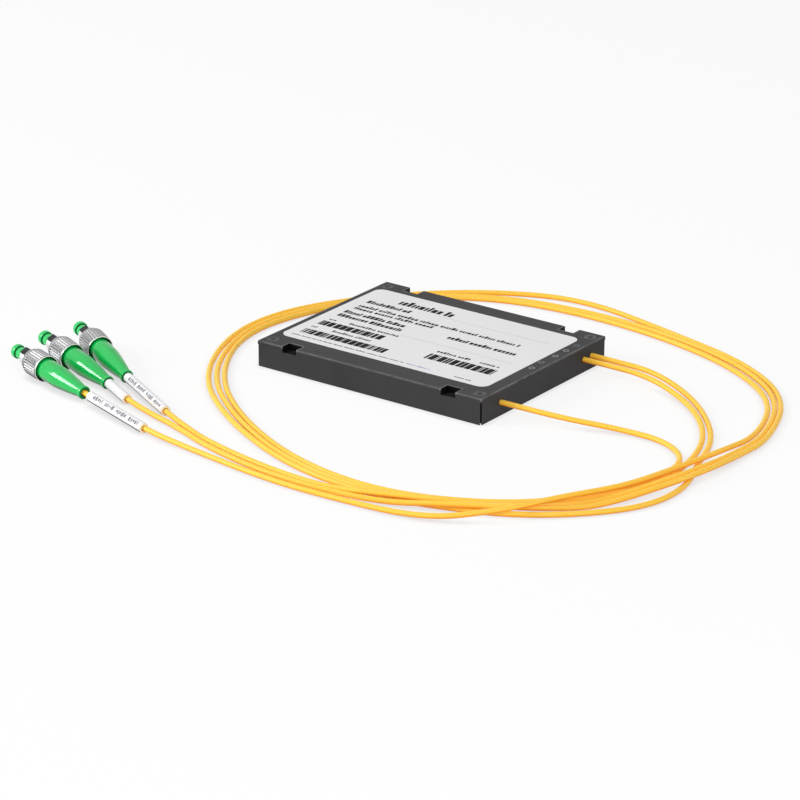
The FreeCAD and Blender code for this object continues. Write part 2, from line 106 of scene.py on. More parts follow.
# Fine moulded grain: a fast noise for the height and a slow one for the mottle
grainGroup, entry, leave = newGroup(
    "fineGrain", [("Place", "Vector"), ("Grain", "Float"), ("Cloud", "Float")],
    [("Height", "Float"), ("Mottle", "Float")])
fast = put(grainGroup, "TexNoise", {"Detail": 3.0, "Roughness": 0.6})
slow = put(grainGroup, "TexNoise", {"Detail": 2.0, "Roughness": 0.5})
wire(grainGroup,
     (entry.outputs["Place"], fast.inputs["Vector"]), (entry.outputs["Grain"], fast.inputs["Scale"]),
     (entry.outputs["Place"], slow.inputs["Vector"]), (entry.outputs["Cloud"], slow.inputs["Scale"]),
     (fast.outputs["Fac"], leave.inputs["Height"]), (slow.outputs["Fac"], leave.inputs["Mottle"]))

# Edge wear and painted edge highlight: how far a rounded normal leaves the true one, broken up by noise,
# above a given height only
wearAndHighlightGroup, entry, leave = newGroup(
    "edgeWearAndHighlight", [("Place", "Vector"), ("Reach", "Float"), ("Breakup", "Float"), ("Above", "Float")],
    [("Mask", "Float")])
rounded = put(wearAndHighlightGroup, "Bevel", samples=4)
facing = put(wearAndHighlightGroup, "NewGeometry")
apart = put(wearAndHighlightGroup, "VectorMath", operation="DOT_PRODUCT")
spread = put(wearAndHighlightGroup, "MapRange", {"From Min": 0.995, "From Max": 0.85, "To Min": 0.0, "To Max": 1.0})
patchy = put(wearAndHighlightGroup, "TexNoise", {"Detail": 2.0})
lift = put(wearAndHighlightGroup, "MapRange", {"From Min": 0.3, "From Max": 0.6, "To Min": 0.35, "To Max": 1.0})
edgeMask = put(wearAndHighlightGroup, "Math", operation="MULTIPLY")
height = put(wearAndHighlightGroup, "SeparateXYZ")
high = put(wearAndHighlightGroup, "Math", operation="GREATER_THAN")
kept = put(wearAndHighlightGroup, "Math", operation="MULTIPLY")
wire(wearAndHighlightGroup,
     (entry.outputs["Reach"], rounded.inputs["Radius"]), (rounded.outputs["Normal"], apart.inputs[0]),
     (facing.outputs["Normal"], apart.inputs[1]), (apart.outputs["Value"], spread.inputs["Value"]),
     (entry.outputs["Place"], patchy.inputs["Vector"]), (entry.outputs["Breakup"], patchy.inputs["Scale"]),
     (patchy.outputs["Fac"], lift.inputs["Value"]), (spread.outputs["Result"], edgeMask.inputs[0]),
     (lift.outputs["Result"], edgeMask.inputs[1]), (entry.outputs["Place"], height.inputs["Vector"]),
     (height.outputs["Z"], high.inputs[0]), (entry.outputs["Above"], high.inputs[1]),
     (edgeMask.outputs["Value"], kept.inputs[0]), (high.outputs["Value"], kept.inputs[1]),
     (kept.outputs["Value"], leave.inputs["Mask"]))

# Loose dust: sparse specks where a fast noise passes a threshold
dustGroup, entry, leave = newGroup("looseDust", [("Place", "Vector"), ("Size", "Float")], [("Mask", "Float")])
specks = put(dustGroup, "TexNoise", {"Detail": 4.0, "Roughness": 0.7})
sparse = put(dustGroup, "MapRange", {"From Min": 0.66, "From Max": 0.74})
wire(dustGroup,
     (entry.outputs["Place"], specks.inputs["Vector"]), (entry.outputs["Size"], specks.inputs["Scale"]),
     (specks.outputs["Fac"], sparse.inputs["Value"]), (sparse.outputs["Result"], leave.inputs["Mask"]))

# Painted underside shade: a mask that grows from none to full as a face turns downwards, between two heights
# of its normal
paintedShadeBelowGroup, entry, leave = newGroup("paintedUndersideShade", [("Start", "Float"), ("Full", "Float")], [("Mask", "Float")])
facing = put(paintedShadeBelowGroup, "NewGeometry")
height = put(paintedShadeBelowGroup, "SeparateXYZ")
fall = put(paintedShadeBelowGroup, "MapRange", {"To Min": 0.0, "To Max": 1.0}, interpolation_type="SMOOTHSTEP")
wire(paintedShadeBelowGroup,
     (facing.outputs["Normal"], height.inputs["Vector"]), (height.outputs["Z"], fall.inputs["Value"]),
     (entry.outputs["Start"], fall.inputs["From Min"]), (entry.outputs["Full"], fall.inputs["From Max"]),
     (fall.outputs["Result"], leave.inputs["Mask"]))
print("shared effects ready")


# Lays a tone over a colour where a mask is set
def blendTone(tree, colour, mask, tone):
    mix = put(tree, "Mix", data_type="RGBA")
    mix.inputs["B"].default_value = (*tone, 1)
    wire(tree, (mask, mix.inputs["Factor"]), (colour, mix.inputs["A"]))
    return mix.outputs["Result"]


# One finish from the shared groups: two tones by the mottle, a painted shade below, worn edges that are
# partly painted highlights, and dust; the grain sets bump and roughness
def makeFinish(name, look):
    material = bpy.data.materials.new(name)
    material.use_nodes = True
    tree = material.node_tree
    shader = tree.nodes["Principled BSDF"]
    for socket, value in look.get("shader", {}).items():
        shader.inputs[socket].default_value = value
    place = put(tree, "TexCoord").outputs["Object"]
    grain = useGroup(tree, grainGroup, Grain=look["grain"], Cloud=look["cloud"])
    tones = put(tree, "Mix", data_type="RGBA")
    tones.inputs["A"].default_value = (*look["tone"], 1)
    tones.inputs["B"].default_value = (*look["secondTone"], 1)
    wire(tree, (place, grain.inputs["Place"]), (grain.outputs["Mottle"], tones.inputs["Factor"]))
    colour = tones.outputs["Result"]
    if "below" in look:
        # the third tone is painted shade on faces that turn downwards
        below = useGroup(tree, paintedShadeBelowGroup, Start=look["below"]["start"], Full=look["below"]["full"])
        colour = blendTone(tree, colour, below.outputs["Mask"], look["below"]["tone"])
    if "wearAndHighlight" in look:
        # worn edges; on the case's top edges this light tone is a painted edge highlight
        wearAndHighlight = useGroup(tree, wearAndHighlightGroup, Reach=look["wearAndHighlight"]["reach"], Breakup=look["wearAndHighlight"]["breakup"],
                        Above=look["wearAndHighlight"].get("above", -1.0))
        wire(tree, (place, wearAndHighlight.inputs["Place"]))
        colour = blendTone(tree, colour, wearAndHighlight.outputs["Mask"], look["wearAndHighlight"]["tone"])
    if "dust" in look:
        dust = useGroup(tree, dustGroup, Size=look["dust"]["size"])
        veil = put(tree, "Math", operation="MULTIPLY")
        veil.inputs[1].default_value = look["dust"]["share"]
        wire(tree, (place, dust.inputs["Place"]), (dust.outputs["Mask"], veil.inputs[0]))
        colour = blendTone(tree, colour, veil.outputs["Value"], look["dust"]["tone"])
    gloss = put(tree, "MapRange", {"To Min": look["gloss"][0], "To Max": look["gloss"][1]})
    bump = put(tree, "Bump", {"Strength": look["bump"], "Distance": look["bumpDepth"]})
    wire(tree, (colour, shader.inputs["Base Color"]),
         (grain.outputs["Height"], gloss.inputs["Value"]),
         (gloss.outputs["Result"], shader.inputs["Roughness"]),
         (grain.outputs["Height"], bump.inputs["Height"]), (bump.outputs["Normal"], shader.inputs["Normal"]))
    return material


# Finishes: tones are linear colours, grain and cloud count per metre, depths and reaches are in metres
finishes = {
    "casePlastic": {
        "tone": (0.028, 0.028, 0.03), "secondTone": (0.046, 0.046, 0.048), "grain": 5200, "cloud": 55,
        "gloss": (0.5, 0.66), "bump": 0.35, "bumpDepth": 0.00008,
        # light top edges: partly wear, partly a painted edge highlight
        "wearAndHighlight": {"reach": 0.001, "breakup": 180, "tone": (0.28, 0.28, 0.285), "above": 0.0092},
        "dust": {"size": 1400, "share": 0.08, "tone": (0.3, 0.29, 0.28)},
        "shader": {"Specular IOR Level": 0.14},
    },
    "labelPaper": {
        "tone": (0.8, 0.79, 0.8), "secondTone": (0.84, 0.83, 0.84), "grain": 3000, "cloud": 60,
        "gloss": (0.45, 0.58), "bump": 0.08, "bumpDepth": 0.00004,
        "shader": {"Specular IOR Level": 0.2},
    },
    "printInk": {
        "tone": (0.008, 0.008, 0.009), "secondTone": (0.022, 0.022, 0.024), "grain": 2600, "cloud": 900,
        "gloss": (0.6, 0.75), "bump": 0.05, "bumpDepth": 0.00003,
        "shader": {"Specular IOR Level": 0.05},
    },
    "printGrey": {
        "tone": (0.42, 0.42, 0.44), "secondTone": (0.54, 0.54, 0.56), "grain": 2600, "cloud": 700,
        "gloss": (0.5, 0.65), "bump": 0.05, "bumpDepth": 0.00003,
        "shader": {"Specular IOR Level": 0.2},
    },
    "printBlue": {
        "tone": (0.16, 0.17, 0.52), "secondTone": (0.26, 0.28, 0.6), "grain": 2600, "cloud": 700,
        "gloss": (0.5, 0.65), "bump": 0.05, "bumpDepth": 0.00003,
        "shader": {"Specular IOR Level": 0.2},
    },
    "screwBlack": {
        "tone": (0.012, 0.012, 0.013), "secondTone": (0.028, 0.028, 0.029), "grain": 4200, "cloud": 600,
        "gloss": (0.22, 0.4), "bump": 0.2, "bumpDepth": 0.00004,
        "wearAndHighlight": {"reach": 0.0002, "breakup": 900, "tone": (0.12, 0.12, 0.125)},
        "shader": {"Specular IOR Level": 0.2},
    },
    "bootGreen": {
        "tone": (0.004, 0.46, 0.075), "secondTone": (0.008, 0.52, 0.1), "grain": 2600, "cloud": 140,
        "gloss": (0.2, 0.3), "bump": 0.04, "bumpDepth": 0.00003,
        # below: painted shade, darker green on the boot's underside
        "below": {"start": -0.15, "full": -0.6, "tone": (0.004, 0.12, 0.024)},
        "shader": {"Specular IOR Level": 0.05, "Coat Weight": 0.7, "Coat Roughness": 0.1},
    },
    "capGreen": {
        "tone": (0.008, 0.5, 0.1), "secondTone": (0.016, 0.58, 0.14), "grain": 3000, "cloud": 300,
        "gloss": (0.24, 0.36), "bump": 0.08, "bumpDepth": 0.00005,
        # below: painted shade, darker green on the cap's underside
        "below": {"start": -0.3, "full": -0.85, "tone": (0.006, 0.22, 0.05)},
        "shader": {"Specular IOR Level": 0.3, "Coat Weight": 0.3, "Coat Roughness": 0.12},
    },
    # darker copy of the green: painted shade on the boots' tail faces and the caps' grooves
    "greenPaintedShade": {
        "tone": (0.004, 0.14, 0.032), "secondTone": (0.006, 0.18, 0.045), "grain": 3000, "cloud": 300,
        "gloss": (0.45, 0.6), "bump": 0.08, "bumpDepth": 0.00005,
        "shader": {"Specular IOR Level": 0.2},
    },
    "nutNickel": {
        "tone": (0.27, 0.27, 0.275), "secondTone": (0.35, 0.35, 0.355), "grain": 3600, "cloud": 260,
        "gloss": (0.42, 0.54), "bump": 0.08, "bumpDepth": 0.00003,
        # below: painted shade, the nut darker towards its underside
        "below": {"start": 0.35, "full": -0.3, "tone": (0.1, 0.1, 0.105)},
        "wearAndHighlight": {"reach": 0.00012, "breakup": 300, "tone": (0.55, 0.55, 0.56)},
        "shader": {"Metallic": 1.0},
    },
    # lighter copy of the nut's nickel on its rear rim: a painted highlight
    "nutRimPaintedHighlight": {
        "tone": (0.8, 0.8, 0.8), "secondTone": (0.88, 0.88, 0.88), "grain": 3600, "cloud": 500,
        "gloss": (0.3, 0.42), "bump": 0.06, "bumpDepth": 0.00003,
        "shader": {"Metallic": 1.0},
    },
    # near-black copy of the nickel in the nut's rear bore: painted shade
    "nutBorePaintedShade": {
        "tone": (0.02, 0.02, 0.021), "secondTone": (0.045, 0.045, 0.047), "grain": 3600, "cloud": 500,
        "gloss": (0.45, 0.6), "bump": 0.2, "bumpDepth": 0.00004,
        "shader": {"Metallic": 0.3},
    },
    "barrelNickel": {
        "tone": (0.74, 0.74, 0.74), "secondTone": (0.84, 0.84, 0.84), "grain": 3600, "cloud": 320,
        "gloss": (0.16, 0.28), "bump": 0.08, "bumpDepth": 0.00004,
        "wearAndHighlight": {"reach": 0.0002, "breakup": 1200, "tone": (0.92, 0.92, 0.92)},
        "shader": {"Metallic": 1.0},
    },
    # black on the locating key stands in for the shade round it: painted shade
    "keyBlackPaintedShade": {
        "tone": (0.012, 0.012, 0.014), "secondTone": (0.03, 0.03, 0.034), "grain": 5000, "cloud": 900,
        "gloss": (0.45, 0.6), "bump": 0.2, "bumpDepth": 0.00004,
        "shader": {"Specular IOR Level": 0.2},
    },
    "ferruleCeramic": {
        "tone": (0.82, 0.8, 0.76), "secondTone": (0.88, 0.87, 0.84), "grain": 6000, "cloud": 500,
        "gloss": (0.08, 0.16), "bump": 0.04, "bumpDepth": 0.00003,
    },
    "springSteel": {
        "tone": (0.5, 0.5, 0.5), "secondTone": (0.64, 0.64, 0.63), "grain": 5200, "cloud": 700,
        "gloss": (0.2, 0.34), "bump": 0.1, "bumpDepth": 0.00003,
        "shader": {"Metallic": 1.0},
    },
    "crimpMetal": {
        "tone": (0.55, 0.53, 0.48), "secondTone": (0.66, 0.64, 0.58), "grain": 4200, "cloud": 500,
        "gloss": (0.26, 0.4), "bump": 0.15, "bumpDepth": 0.00004,
        "shader": {"Metallic": 1.0},
    },
    "deviceSteel": {
        "tone": (0.56, 0.57, 0.58), "secondTone": (0.66, 0.67, 0.68), "grain": 4200, "cloud": 240,
        "gloss": (0.18, 0.32), "bump": 0.1, "bumpDepth": 0.00003,
        "shader": {"Metallic": 1.0},
    },
    "fibreBuffer": {
        "tone": (0.78, 0.8, 0.8), "secondTone": (0.86, 0.88, 0.88), "grain": 4200, "cloud": 200,
        "gloss": (0.28, 0.4), "bump": 0.06, "bumpDepth": 0.00003,
    },
    "anchorRubber": {
        "tone": (0.02, 0.02, 0.021), "secondTone": (0.036, 0.036, 0.037), "grain": 4200, "cloud": 400,
        "gloss": (0.62, 0.78), "bump": 0.25, "bumpDepth": 0.00005,
    },
    "sleeveWhite": {
        "tone": (0.82, 0.82, 0.83), "secondTone": (0.9, 0.9, 0.91), "grain": 2600, "cloud": 220,
        "gloss": (0.34, 0.46), "bump": 0.1, "bumpDepth": 0.00005,
        # below: painted shade, a dark line on the sleeve's underside
        "below": {"start": -0.1, "full": -0.45, "tone": (0.03, 0.03, 0.035)},
        "shader": {"Specular IOR Level": 0.1},
    },
    # orange on the sleeve's end faces: painted reflected light from the yellow cord
    "sleeveEndPaintedReflection": {
        "tone": (0.97, 0.8, 0.52), "secondTone": (0.98, 0.86, 0.64), "grain": 2600, "cloud": 220,
        "gloss": (0.34, 0.46), "bump": 0.1, "bumpDepth": 0.00005,
    },
    "sleeveMark": {
        "tone": (0.12, 0.12, 0.15), "secondTone": (0.36, 0.36, 0.4), "grain": 2600, "cloud": 1300,
        "gloss": (0.45, 0.6), "bump": 0.05, "bumpDepth": 0.00003,
    },
    "cordYellow": {
        "tone": (0.9, 0.545, 0.055), "secondTone": (0.91, 0.6, 0.085), "grain": 2200, "cloud": 90,
        "gloss": (0.4, 0.48), "bump": 0.02, "bumpDepth": 0.00003,
        # below: painted shade, deeper orange on the cord's underside
        "below": {"start": 0.2, "full": -0.6, "tone": (0.84, 0.3, 0.004)},
        # the orange emission is a painted glow that brightens the cord's shaded sides
        "shader": {"Specular IOR Level": 0.35, "Specular Tint": (1.0, 0.88, 0.55, 1.0),
                   "Emission Color": (1.0, 0.33, 0.0, 1.0), "Emission Strength": 0.11},
    },
}
paint = {name: makeFinish(name, look) for name, look in finishes.items()}

# Deep shade in the fixing notches of the case: a box test, in metres from the middle of the case
notchShade = {"fromMiddle": 0.0355, "halfWidth": 0.0034, "inside": 0.03535, "shelf": 0.00747, "rim": 0.0098,
              "lip": 0.0393, "tone": (0.002, 0.002, 0.002)}


def shadeNotches(material, notch):
    tree = material.node_tree
    shader = tree.nodes["Principled BSDF"]
    before = shader.inputs["Base Color"].links[0].from_socket
    split = put(tree, "SeparateXYZ")
    wire(tree, (put(tree, "TexCoord").outputs["Object"], split.inputs["Vector"]))
    alongX = put(tree, "Math", operation="ABSOLUTE")
    alongY = put(tree, "Math", operation="ABSOLUTE")
    near = put(tree, "Math", operation="COMPARE")
    near.inputs[1].default_value = notch["fromMiddle"]
    near.inputs[2].default_value = notch["halfWidth"]
    wire(tree, (split.outputs["X"], alongX.inputs[0]), (split.outputs["Y"], alongY.inputs[0]),
         (alongX.outputs[0], near.inputs[0]))
    mask = near.outputs[0]
    tests = ((alongY.outputs[0], "GREATER_THAN", "inside"), (alongY.outputs[0], "LESS_THAN", "lip"),
             (split.outputs["Z"], "GREATER_THAN", "shelf"), (split.outputs["Z"], "LESS_THAN", "rim"))
    for value, test, limit in tests:
        check = put(tree, "Math", operation=test)
        check.inputs[1].default_value = notch[limit]
        both = put(tree, "Math", operation="MULTIPLY")
        wire(tree, (value, check.inputs[0]), (mask, both.inputs[0]), (check.outputs[0], both.inputs[1]))
        mask = both.outputs[0]
    wire(tree, (blendTone(tree, before, mask, notch["tone"]), shader.inputs["Base Color"]))


shadeNotches(paint["casePlastic"], notchShade)
print("finishes ready:", len(paint))


# CAD nodes that stay, with their finishes
def dressNode(node, finish):
    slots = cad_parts[node].data.materials
    slots.clear()
    slots.append(paint[finish])


nodeFinishes = {
    "base_tray": "casePlastic", "lid": "casePlastic", "top_label": "labelPaper", "lid_screws": "screwBlack",
    "filter_tube": "deviceSteel", "fibre_coil": "fibreBuffer", "fibre_leads": "fibreBuffer",
    "cord_anchors": "anchorRubber",
}
plugFinishes = {
    "plug_body": "barrelNickel", "locating_key": "keyBlackPaintedShade", "ferrule": "ferruleCeramic",
    "ferrule_flange": "crimpMetal", "crimp_sleeve": "crimpMetal", "rear_body": "crimpMetal",
}
nodeFinishes.update({part + "_" + name: finish for part, finish in plugFinishes.items() for name in names})
for node, finish in nodeFinishes.items():
    dressNode(node, finish)
print("CAD nodes dressed:", len(nodeFinishes))

# Cords: each route's points in millimetres, as in the part's source, and the facts of the cord
cordLay = {
    "thick": 2.0, "exitX": 50.0, "exitZ": 5.0, "steps": 10, "roundness": 6,
    "length": {"front": 0.988, "middle": 1.068, "rear": 1.028},
    "front": [
        (45, -27.5, 5), (58, -27.5, 5), (76, -24, 3.6), (93, -16.5, 1.5), (112, -15.5, 1),
        (126.3, -26.4, 1), (127.8, -46, 1), (118, -71, 1), (100, -94.5, 1), (62, -111.7, 1),
        (19.5, -107.2, 1), (-21.8, -86.3, 1), (-53.8, -58, 1), (-74, -19, 1), (-68.2, 18.5, 1),
        (-48.4, 50.2, 1), (-19.5, 70.2, 1), (17.2, 75.5, 1), (56.4, 71.7, 1), (93, 60.5, 1), (122, 40, 1),
        (134.8, 8, 1), (134.5, -16, 3.2), (130, -40, 3.2), (124.5, -63, 3.2), (114, -86, 4.4),
        (104, -107.5, 4.2), (84, -122.5, 1.3), (44.8, -125.5, 1), (19.2, -125.3, 1), (-18, -119.8, 1),
        (-38.5, -117.23, 1.81), (-59.8, -110.95, 2.67), (-77.25, -105.8, 3.38), (-89.83, -102.31, 4.3),
    ],
    "middle": [
        (45, 31, 5), (58, 31, 5), (76, 32.3, 4.3), (95, 26, 1.7), (111.5, 12, 1), (125.3, -6.5, 1),
        (131.8, -27.5, 1), (139.7, -47.5, 1), (137.5, -69, 1), (122.5, -88.5, 1), (104, -102.3, 1),
        (84, -109.5, 1), (60, -115.7, 1), (20, -112.1, 1), (-23.2, -91.4, 1), (-57.2, -63.8, 1),
        (-77.7, -22.5, 1), (-76.3, 13.6, 1), (-52.7, 51.4, 1), (-24.2, 76.3, 1), (8.7, 89.2, 1),
        (54.8, 77.8, 1), (95.5, 66.4, 1), (125.1, 44.3, 1), (139.6, 8, 1), (139.4, -14, 1.6),
        (139.6, -34, 3.2), (135.5, -54, 3.2), (125.5, -75.5, 1), (117, -86.5, 1), (102, -101.5, 3.1),
        (84, -111.8, 3.2), (62, -119.8, 1), (22, -122.4, 1), (-12, -115.5, 1), (-34, -106.8, 1),
        (-49, -103, 1.25), (-63, -98.8, 1.92), (-78.2, -91.6, 2.6), (-90.6, -87.7, 3.93),
    ],
    "rear": [
        (45, 26, 5), (58, 26, 5), (76, 27.5, 4.2), (94, 22.5, 1.6), (110, 10, 1), (122.3, -7.5, 1),
        (128.6, -27, 1), (130.3, -47, 1), (121, -71.5, 1), (101.5, -97, 1), (63, -113.7, 1),
        (19.2, -109.7, 1), (-22.8, -88.3, 1), (-57.1, -59.1, 1), (-76.6, -16.8, 1), (-70.9, 18.8, 1),
        (-49.5, 52, 1), (-19.7, 72.5, 1), (17.7, 78.8, 1), (57.3, 75.4, 1), (94.4, 64, 1), (123.5, 42.6, 1),
        (137.3, 8.2, 1), (137.3, -13.9, 1.6), (137.2, -31, 3.2), (133.4, -50, 3.2), (123.5, -73.5, 1),
        (107, -94, 1), (88.5, -107, 3.2), (65, -116, 3.2), (43, -119.2, 1), (16, -118, 1), (-16, -111.3, 1),
        (-33, -104.5, 1.2), (-44.5, -99.6, 1.92), (-61, -90.96, 2.27), (-76.62, -82.79, 2.6),
        (-88.24, -77.02, 3.95),
    ],
}


# A cord: a smooth curve guided by the points of its route, with a round section
def layCord(name):
    points = np.array(cordLay[name], float) * mm
    curve = bpy.data.curves.new("cord" + name.capitalize(), "CURVE")
    curve.dimensions = "3D"
    curve.fill_mode = "FULL"
    curve.bevel_depth = cordLay["thick"] / 2 * mm
    curve.bevel_resolution = cordLay["roundness"]
    curve.use_fill_caps = True
    spline = curve.splines.new("NURBS")
    spline.points.add(len(points) - 1)
    spline.points.foreach_set("co", np.c_[points, np.ones(len(points))].ravel())
    spline.order_u = 3
    spline.use_endpoint_u = True
    spline.resolution_u = cordLay["steps"]
    spline.use_smooth = True
    piece = bpy.data.objects.new(curve.name, curve)
    bpy.context.scene.collection.objects.link(piece)
    curve.materials.append(paint["cordYellow"])
    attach(piece, "module")
    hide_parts("cord_" + name)
    return piece


cords = {name: layCord(name) for name in names}
print("cords laid:", len(cords))


# Rules that all new meshes share; lengths in millimetres
meshRules = {"sharpDegrees": 35, "weld": 0.0001, "near": 0.01, "tiny": 1e-9, "cornerSteps": 4,
             "cornerShare": 0.45}


# Quads over a grid of points: columns always wrap round, and rows wrap where the profile is a loop
def gridFaces(rows, columns, loop):
    row = np.arange(rows if loop else rows - 1)[:, None]
    column = np.arange(columns)[None, :]
    below = (row + 1) % rows
    beside = (column + 1) % columns
    corners = [row * columns + column, row * columns + beside,
               below * columns + beside, below * columns + column]
    return np.stack(np.broadcast_arrays(*corners), axis=-1).reshape(-1, 4)


# A piece from points and quads; which gives each face the number of its finish in finishNames
def newPiece(name, points, faces, finishNames, body, which=None):
    mesh = bpy.data.meshes.new(name)
    mesh.from_pydata(points.reshape(-1, 3).tolist(), [], faces.tolist())
    if which is not None:
        mesh.polygons.foreach_set("material_index", np.asarray(which, dtype=np.int32))
    work = bmesh.new()
    work.from_mesh(mesh)
    bmesh.ops.remove_doubles(work, verts=work.verts, dist=meshRules["weld"] * mm)  # closes poles
    bmesh.ops.recalc_face_normals(work, faces=work.faces)
    work.to_mesh(mesh)
    work.free()
    mesh.shade_smooth()
    mesh.set_sharp_from_angle(angle=np.radians(meshRules["sharpDegrees"]))
    for finish in finishNames:
        mesh.materials.append(paint[finish])
    piece = bpy.data.objects.new(name, mesh)
    bpy.context.scene.collection.objects.link(piece)
    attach(piece, body)
    return piece


# Corner easing: each corner becomes a short quadratic curve between points set back along its two sides
def easeCorners(corners, ease, loop):
    corners = np.asarray(corners, float)
    before = np.roll(corners, 1, axis=0) - corners
    after = np.roll(corners, -1, axis=0) - corners
    lengthBefore = np.linalg.norm(before, axis=1)[:, None]
    lengthAfter = np.linalg.norm(after, axis=1)[:, None]
    setback = np.minimum(ease, np.minimum(lengthBefore, lengthAfter) * meshRules["cornerShare"])
    if not loop:
        setback[[0, -1]] = 0
    first = corners + before / np.maximum(lengthBefore, meshRules["tiny"]) * setback
    last = corners + after / np.maximum(lengthAfter, meshRules["tiny"]) * setback
    t = np.linspace(0, 1, meshRules["cornerSteps"])[None, :, None]
    curve = (1 - t) ** 2 * first[:, None] + 2 * t * (1 - t) * corners[:, None] + t ** 2 * last[:, None]
    return curve.reshape(-1, 2)


# Turned surface: a profile of stations and radii carried round an axis; radii may change with the angle
def turnAbout(axis, stations, radii, angles):
    origin, forward, side, up = axis
    ring = np.cos(angles)[None, :, None] * side + np.sin(angles)[None, :, None] * up
    return origin + stations[:, None, None] * forward + radii[:, :, None] * ring


# Axis of a turned piece: its start, the way forward, a level side and the way up
def axisFrom(start, towards):
    start = np.asarray(start, float) * mm
    forward = np.asarray(towards, float) * mm - start
    forward /= np.linalg.norm(forward)
    side = np.cross((0, 0, 1), forward)
    side /= np.linalg.norm(side)
    return start, forward, side, np.cross(forward, side)


plugAxes = {name: axisFrom(*cordLay[name][-2:]) for name in names}  # tail of the boot, towards the crimp


# A turned piece that replaces a CAD node; rowFinish numbers the finish of each row of its profile
def turnPiece(name, axis, profile, columns, finishNames, body, replaced, rowFinish, wave=None,
              loop=True):
    stations, radii = np.asarray(profile).T * mm
    angles = np.linspace(0, 2 * np.pi, columns, endpoint=False)
    radii = np.repeat(radii[:, None], columns, axis=1)
    if wave is not None:
        radii = radii - wave(stations, radii, angles)
    points = turnAbout(axis, stations, radii, angles)
    faces = gridFaces(len(stations), columns, loop)
    piece = newPiece(name, points, faces, finishNames, body, which=np.repeat(rowFinish, columns))
    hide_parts(replaced)
    return piece


# Boots: a lip at the tail, a waist, a bowed taper up to a straight base, and a stepped bore
bootForm = {
    "tail": 2.5, "lip": 1.2, "waist": 2.25, "waistAt": 1.7, "base": 4.1, "baseAt": 16.0, "length": 25.6,
    "bow": 0.15, "ease": 0.3, "columns": 72, "rows": 40,
    "bore": [  # station, radius
        (25.6, 3.25), (18.15, 3.25), (18.15, 2.3), (8.6, 2.3), (8.6, 1.35), (0, 1.35),
    ],
}


# Taper: the radius is a straight line from waist to base plus a parabola that is highest at its middle
def bootProfile(form):
    t = np.linspace(0, 1, form["rows"])
    taper = np.c_[form["waistAt"] + t * (form["baseAt"] - form["waistAt"]),
                  form["waist"] + t * (form["base"] - form["waist"]) + 4 * t * (1 - t) * form["bow"]]
    tail = easeCorners([(0, form["bore"][-1][1]), (0, form["tail"]), (form["lip"], form["tail"]), taper[0]],
                       form["ease"], False)
    base = easeCorners([taper[-1], (form["length"], form["base"]), form["bore"][0]], form["ease"], False)
    return np.vstack([tail, taper[1:-1], base, form["bore"][1:-1]])


def turnBoot(name):
    profile = bootProfile(bootForm)
    following = np.roll(profile, -1, axis=0)
    # the tail's end face takes the green painted shade
    tailFace = np.maximum(profile[:, 0], following[:, 0]) < meshRules["near"]
    return turnPiece("boot" + name.capitalize(), plugAxes[name], profile, bootForm["columns"],
                     ("bootGreen", "greenPaintedShade"), "module", "boot_" + name, tailFace)


boots = {name: turnBoot(name) for name in names}

# Coupling nuts: a fluted barrel with a plain lip behind, a chamfer in front and a web inside
nutForm = {
    "start": 24.5, "front": 34.3, "outer": 5.1, "rearBore": 4.7, "webStart": 26.4, "webEnd": 28.4,
    "web": 3.25, "mouth": 4.0, "chamfer": 2.1, "chamferRise": 0.75, "lip": 0.7, "ease": 0.14, "rim": 0.35,
    "flutes": 30, "perFlute": 8, "fluteDepth": 0.32, "fade": 0.25, "skin": 0.2, "ribFlat": 0.15,
    "grooveRise": 0.7,
}


def nutProfile(form):
    ribStart = form["start"] + form["lip"]
    ribEnd = form["front"] - form["chamfer"]
    corners = [
        (form["start"], form["rearBore"]), (form["webStart"], form["rearBore"]),
        (form["webStart"], form["web"]), (form["webEnd"], form["web"]),
        (form["webEnd"], form["mouth"]), (form["front"], form["mouth"]),
        (form["front"], form["outer"] - form["chamferRise"]), (ribEnd, form["outer"]),
        (ribEnd - form["fade"], form["outer"]), (ribStart + form["fade"], form["outer"]),
        (ribStart, form["outer"]), (form["start"], form["outer"]),
    ]
    return easeCorners(corners, form["ease"], True)


# Flutes: the radius drops by a V-shaped wave of the angle, cut flat at rib and groove, and faded out
# towards the lip and the chamfer
def nutWave(stations, radii, angles):
    start = (nutForm["start"] + nutForm["lip"]) * mm
    end = (nutForm["front"] - nutForm["chamfer"]) * mm
    fade = nutForm["fade"] * mm
    within = np.clip(np.minimum(stations - start, end - stations) / fade, 0, 1)[:, None]
    outer = radii > (nutForm["outer"] - nutForm["skin"]) * mm
    phase = np.abs((angles * nutForm["flutes"] / (2 * np.pi)) % 1 - 0.5) * 2  # 1 at a groove, 0 at a rib
    groove = np.clip((phase - nutForm["ribFlat"]) / nutForm["grooveRise"], 0, 1)
    return nutForm["fluteDepth"] * mm * within * outer * groove[None, :]


def turnNut(name):
    profile = nutProfile(nutForm)
    columns = nutForm["flutes"] * nutForm["perFlute"]
    following = np.roll(profile, -1, axis=0)
    # the rear bore takes the near-black painted shade, the rear rim the painted highlight
    bored = np.maximum(profile[:, 1], following[:, 1]) < nutForm["rearBore"] + meshRules["near"]
    bored &= np.minimum(profile[:, 0], following[:, 0]) < nutForm["front"] - nutForm["ease"]
    rim = (np.maximum(profile[:, 0], following[:, 0]) < nutForm["start"] + nutForm["rim"]) & ~bored
    return turnPiece("couplingNut" + name.capitalize(), plugAxes[name], profile, columns,
                     ("nutNickel", "nutBorePaintedShade", "nutRimPaintedHighlight"), "nut_" + name,
                     "coupling_nut_" + name, bored + 2 * rim, nutWave)


nuts = {name: turnNut(name) for name in names}

